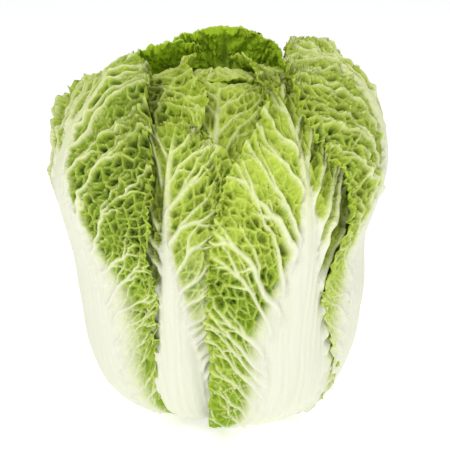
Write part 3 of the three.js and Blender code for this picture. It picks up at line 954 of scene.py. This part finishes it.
def leaf_finish(name, colours, kind="UV"):
    """Leaf skin: a waxy white stalk with faint lengthwise stripes, a green blade with painted shade in
    its pits and lanes, pale veins with a finer net between them, and a light rim."""
    finish = Finish(name)
    white, vein, net, pit, rim, tone = [
        finish.mask(mask) for mask in ("white", "vein", "net", "pit", "rim", "tone")
    ]
    flat = finish.place(kind)
    mottle = finish.noise(flat, MOTTLE_SCALE)
    speckle = finish.noise(flat, SPECKLE_SCALE)
    drift = finish.node("ShaderNodeTexNoise", {}, {"Vector": flat, "Scale": DRIFT_SCALE}, "Color")
    shift = {0: drift, 1: (NET_DRIFT,) * 3, 2: flat}
    drifted = finish.node("ShaderNodeVectorMath", {"operation": "MULTIPLY_ADD"}, shift)
    cell_inputs = {"Vector": drifted, "Scale": FINEST_NET_SCALE}
    cells = finish.node("ShaderNodeTexVoronoi", {"feature": "DISTANCE_TO_EDGE"}, cell_inputs)
    hairline = (1 - cells * 6).clamped()
    shade = (tone * 0.9 + (mottle - 0.5) * 1.2).clamped()
    blade = finish.mix(shade, colours.blade_light, colours.blade_mid)
    # Painted shade: the blade turns to its shade colour in the pits and lanes, more on darker-toned
    # leaves, with speckles.
    deep = (pit * (0.5 + tone * 0.85) + (speckle - 0.5) * 0.3).clamped()
    blade = finish.mix(deep, blade, colours.blade_dark)
    blade = finish.mix(hairline * 0.06, blade, colours.net)
    blade = finish.mix(rim * 0.75, blade, colours.rim)
    blade = finish.mix(net * 0.8, blade, colours.net)
    blade = finish.mix(vein * 0.9, blade, colours.vein)
    stripes = finish.noise(finish.place(kind, STRIPE_STRETCH), STRIPE_SCALE, 2.0)
    stalk = finish.mix((stripes * 1.6 - 0.45).clamped(), colours.stalk, colours.stalk_shade)
    height = finish.noise(flat, GRAIN_SCALE, 4.0) * 0.5 + hairline * (1 - white)
    finish.feed(finish.shader, {
        "Base Color": finish.mix(white, blade, stalk),
        "Roughness": 0.5 + mottle * 0.15 - white * 0.1,
        "Normal": finish.bump(height, 0.5, 0.0008),
        "Specular IOR Level": 0.03,
        "Subsurface Weight": 0.1,
        "Subsurface Radius": (0.6, 1.0, 0.15),
        "Subsurface Scale": 0.002,
    })
    return finish.material


def stem_finish(colours):
    """Cut stem: pale flesh, browned in patches, with fine fibres."""
    finish = Finish("stem_skin")
    place = finish.place("Object")
    browned = (finish.noise(place, BROWN_SCALE) * 2 - 0.7).clamped()
    fibres = finish.noise(place, FIBRE_SCALE, 4.0)
    finish.feed(finish.shader, {
        "Base Color": finish.mix(browned, colours.flesh, colours.browned),
        "Roughness": 0.5 + fibres * 0.2,
        "Normal": finish.bump(fibres, 0.4, 0.001),
    })
    return finish.material


# ---- settings ------------------------------------------------------------------------------------


LEAF_COLOURS = (
    ("blade_light", "Light blade", "Thin, flat parts of the blade"),
    ("blade_mid", "Blade", "Most of the blade"),
    # The dark blade colour is the painted shade of the pits and lanes.
    ("blade_dark", "Dark blade", "Pits and folds of the blade"),
    ("rim", "Rim", "The thin margin"),
    ("vein", "Vein", "The side veins"),
    ("net", "Net", "The net of fine veins"),
    ("stalk", "Stalk", "The fleshy white stalk"),
    ("stalk_shade", "Stalk stripes", "Stripes along the stalk"),
)


def colour_setting(name, description, default):
    """A colour with full alpha."""
    return bpy.props.FloatVectorProperty(
        name=name, description=description, subtype="COLOR", size=4, min=0, max=1,
        default=(*default, 1),
    )


def length_setting(name, description, default):
    """A length in metres."""
    return bpy.props.FloatProperty(
        name=name, description=description, unit="LENGTH", default=default,
    )


def leaf_colours(*defaults):
    """Settings for the colours of a leaf, with their defaults in the order of LEAF_COLOURS."""
    return {
        key: colour_setting(name, description, default)
        for (key, name, description), default in zip(LEAF_COLOURS, defaults, strict=True)
    }


class CabbageSizes(bpy.types.PropertyGroup):
    """Sizes of the leaves' parts."""

    thickness: length_setting("Blade thickness", "Of every leaf, between its veins", 0.0009)
    frill_length: length_setting("Frill length", "How far from the tip a leaf curls up", 0.012)
    vein_bend: length_setting("Vein bend", "How far from the stalk a side vein bends", 0.018)
    longest_vein: length_setting("Longest vein", "The most that a side vein runs", 0.07)
    heart_seam: length_setting("Heart seam", "Step where the heart's leaves overlap", 0.004)


class CabbageOuterColours(bpy.types.PropertyGroup):
    """Colours of the outer leaves."""

    __annotations__ = leaf_colours(
        (0.52, 0.66, 0.085), (0.2, 0.345, 0.004), (0.022, 0.07, 0.0005), (0.47, 0.61, 0.06),
        (0.78, 0.82, 0.4), (0.6, 0.7, 0.15), (0.785, 0.78, 0.665), (0.7, 0.73, 0.55),
    )


class CabbageLitUprightColours(bpy.types.PropertyGroup):
    """Colours of the leaves at the back that stand up above the crown: a brighter, greener copy of the
    outer leaves' colours, painted light that shines through these leaves and lifts them out of the
    crown's shade.
    """

    __annotations__ = leaf_colours(
        (0.46, 0.66, 0.04), (0.4, 0.62, 0.014), (0.12, 0.24, 0.002), (0.46, 0.66, 0.04),
        (0.62, 0.72, 0.2), (0.5, 0.68, 0.08), (0.785, 0.78, 0.665), (0.7, 0.73, 0.55),
    )


class CabbageInnerColours(bpy.types.PropertyGroup):
    """Colours of the inner leaves and the heart."""

    __annotations__ = leaf_colours(
        (0.48, 0.6, 0.07), (0.3, 0.47, 0.008), (0.025, 0.07, 0.0005), (0.47, 0.61, 0.06),
        (0.68, 0.76, 0.24), (0.62, 0.72, 0.14), (0.76, 0.79, 0.52), (0.7, 0.73, 0.55),
    )


class CabbageStemColours(bpy.types.PropertyGroup):
    """Colours of the cut stem."""

    flesh: colour_setting("Flesh", "Fresh cut flesh", (0.8, 0.8, 0.62))
    browned: colour_setting("Browned", "Flesh that has dried", (0.5, 0.4, 0.22))


class CabbageStage(bpy.types.PropertyGroup):
    """The stage: floor, light and camera."""

    elevation: bpy.props.FloatProperty(
        name="Camera elevation", description="How far the camera looks down",
        subtype="ANGLE", default=math.radians(20),
    )
    distance: length_setting("Camera distance", "From the head's middle", 0.95)
    floor_size: length_setting("Floor size", "Side of the square floor", 24)
    floor_colour: colour_setting("Floor", "The pale floor", (0.93, 0.94, 0.94))


# ---- operators -----------------------------------------------------------------------------------


def dress(piece, node, material):
    """Puts a finished piece in place of its node."""
    piece.data.materials.append(material)
    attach(piece, "root")
    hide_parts(node)


class CABBAGE_OT_outer_leaves(bpy.types.Operator):
    """Builds the outer leaves"""

    bl_idname = "cabbage.outer_leaves"
    bl_label = "Outer leaves"

    def execute(self, context):
        spread = leaf_finish("outer_leaf_skin", context.scene.cabbage_outer)
        # The leaves at the back get a brighter copy of the skin: painted light shining through them.
        lit_upright = leaf_finish("upright_leaf_skin", context.scene.cabbage_upright)
        for table in OUTER_LEAVES:
            piece = leaf_piece(table, context.scene.cabbage_sizes)
            dress(piece, table.name, lit_upright if table.fine_inside else spread)
        return {"FINISHED"}


class CABBAGE_OT_inner_leaves(bpy.types.Operator):
    """Builds the leaves of the second ring"""

    bl_idname = "cabbage.inner_leaves"
    bl_label = "Inner leaves"

    def execute(self, context):
        material = leaf_finish("inner_leaf_skin", context.scene.cabbage_inner)
        for table in INNER_LEAVES:
            piece = leaf_piece(table, context.scene.cabbage_sizes)
            dress(piece, table.name, material)
        return {"FINISHED"}


class CABBAGE_OT_heart(bpy.types.Operator):
    """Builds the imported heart"""

    bl_idname = "cabbage.heart"
    bl_label = "Heart"

    def execute(self, context):
        rings, masks = heart_surface(context.scene.cabbage_sizes)
        material = leaf_finish("heart_skin", context.scene.cabbage_inner, "Object")
        dress(ring_piece("heart_skin", rings, masks), "heart", material)
        return {"FINISHED"}


class CABBAGE_OT_stem(bpy.types.Operator):
    """Builds the cut stem"""

    bl_idname = "cabbage.stem"
    bl_label = "Cut stem"

    def execute(self, context):
        material = stem_finish(context.scene.cabbage_stem)
        dress(ring_piece("cut_stem_skin", stem_surface()), "cut_stem", material)
        return {"FINISHED"}


# The camera's view: its side, its scale, and where the head's axis and base lie in it, in pixels.
IMAGE_SIDE = 450
PIXELS_PER_METRE = 1500
AXIS_PIXEL = 221
BASE_PIXEL = 404
AIM_HEIGHT = 0.125
SENSOR_MM = 36
FLOOR_GLOW = 0.43
SKY_STRENGTH = 0.5
WHITE = (1, 1, 1, 1)

# Round lamps: (name, place, diameter, power).
LAMPS = (
    ("key", (-0.6, -0.9, 1.1), 0.5, 7.5),
    ("fill", (1.0, -0.6, 0.7), 0.8, 3.1),
    ("front", (0.1, -1.3, 0.35), 0.7, 1.2),
    ("top", (0.1, 0.3, 1.6), 0.8, 3),
)


def add_lamp(name, place, size, power):
    """Adds a round lamp that shines at the head's middle."""
    light = bpy.data.lights.new(name, "AREA")
    light.energy = power
    light.shape = "DISK"
    light.size = size
    lamp = bpy.data.objects.new(name, light)
    lamp.location = place
    lamp.rotation_mode = "QUATERNION"
    to_head = Vector((0, 0, AIM_HEIGHT)) - Vector(place)
    lamp.rotation_quaternion = to_head.to_track_quat("-Z", "Y")
    bpy.context.scene.collection.objects.link(lamp)


class CABBAGE_OT_stage(bpy.types.Operator):
    """Adds the floor, the lights and the camera"""

    bl_idname = "cabbage.stage"
    bl_label = "Stage"

    def execute(self, context):
        settings = context.scene.cabbage_stage
        size = settings.floor_size / 2
        corners = ((-size, -size, 0), (size, -size, 0), (size, size, 0), (-size, size, 0))
        floor = build_mesh("floor", np.array(corners) / MM, [np.array(((0, 1, 2, 3),))])
        finish = Finish("pale_floor")
        finish.feed(finish.shader, {
            "Base Color": settings.floor_colour,
            "Roughness": 0.9,
            "Specular IOR Level": 0.1,
            "Emission Color": WHITE,
            "Emission Strength": FLOOR_GLOW,
        })
        floor.data.materials.append(finish.material)

        aim = Vector((0, 0, AIM_HEIGHT))
        back = Vector((0, -math.cos(settings.elevation), math.sin(settings.elevation)))
        camera = bpy.data.cameras.new("camera")
        camera.sensor_width = SENSOR_MM
        camera.lens = SENSOR_MM * settings.distance * PIXELS_PER_METRE / IMAGE_SIDE
        aim_pixel = BASE_PIXEL - PIXELS_PER_METRE * AIM_HEIGHT * math.cos(settings.elevation)
        camera.shift_x = (IMAGE_SIDE / 2 - AXIS_PIXEL) / IMAGE_SIDE
        camera.shift_y = (aim_pixel - IMAGE_SIDE / 2) / IMAGE_SIDE
        holder = bpy.data.objects.new("camera", camera)
        holder.location = aim + back * settings.distance
        holder.rotation_mode = "QUATERNION"
        holder.rotation_quaternion = (-back).to_track_quat("-Z", "Y")
        context.scene.collection.objects.link(holder)
        context.scene.camera = holder

        for lamp in LAMPS:
            add_lamp(*lamp)
        world = bpy.data.worlds.new("white")
        context.scene.world = world
        world.use_nodes = True
        sky = world.node_tree.nodes["Background"].inputs
        sky["Color"].default_value = WHITE
        sky["Strength"].default_value = SKY_STRENGTH
        context.scene.view_settings.view_transform = "Standard"
        return {"FINISHED"}


class CABBAGE_PT_panel(bpy.types.Panel):
    """Lists the cabbage's pieces"""

    bl_label = "Napa cabbage"
    bl_idname = "CABBAGE_PT_panel"
    bl_space_type = "VIEW_3D"
    bl_region_type = "UI"
    bl_category = "Cabbage"

    def draw(self, context):
        for operator in OPERATORS:
            self.layout.operator(operator.bl_idname)


OPERATORS = (
    CABBAGE_OT_outer_leaves, CABBAGE_OT_inner_leaves, CABBAGE_OT_heart, CABBAGE_OT_stem,
    CABBAGE_OT_stage,
)
SETTINGS = {
    "cabbage_sizes": CabbageSizes,
    "cabbage_outer": CabbageOuterColours,
    "cabbage_upright": CabbageLitUprightColours,
    "cabbage_inner": CabbageInnerColours,
    "cabbage_stem": CabbageStemColours,
    "cabbage_stage": CabbageStage,
}


def register():
    for group in (*SETTINGS.values(), *OPERATORS, CABBAGE_PT_panel):
        bpy.utils.register_class(group)
    for name, group in SETTINGS.items():
        setattr(bpy.types.Scene, name, bpy.props.PointerProperty(type=group))


def unregister():
    for name in SETTINGS:
        delattr(bpy.types.Scene, name)
    for group in (CABBAGE_PT_panel, *OPERATORS, *SETTINGS.values()):
        bpy.utils.unregister_class(group)


def main():
    """Registers the add-on and builds every piece in order."""
    register()
    bpy.ops.cabbage.outer_leaves()
    bpy.ops.cabbage.inner_leaves()
    bpy.ops.cabbage.heart()
    bpy.ops.cabbage.stem()
    bpy.ops.cabbage.stage()


if __name__ == "__main__":
    main()
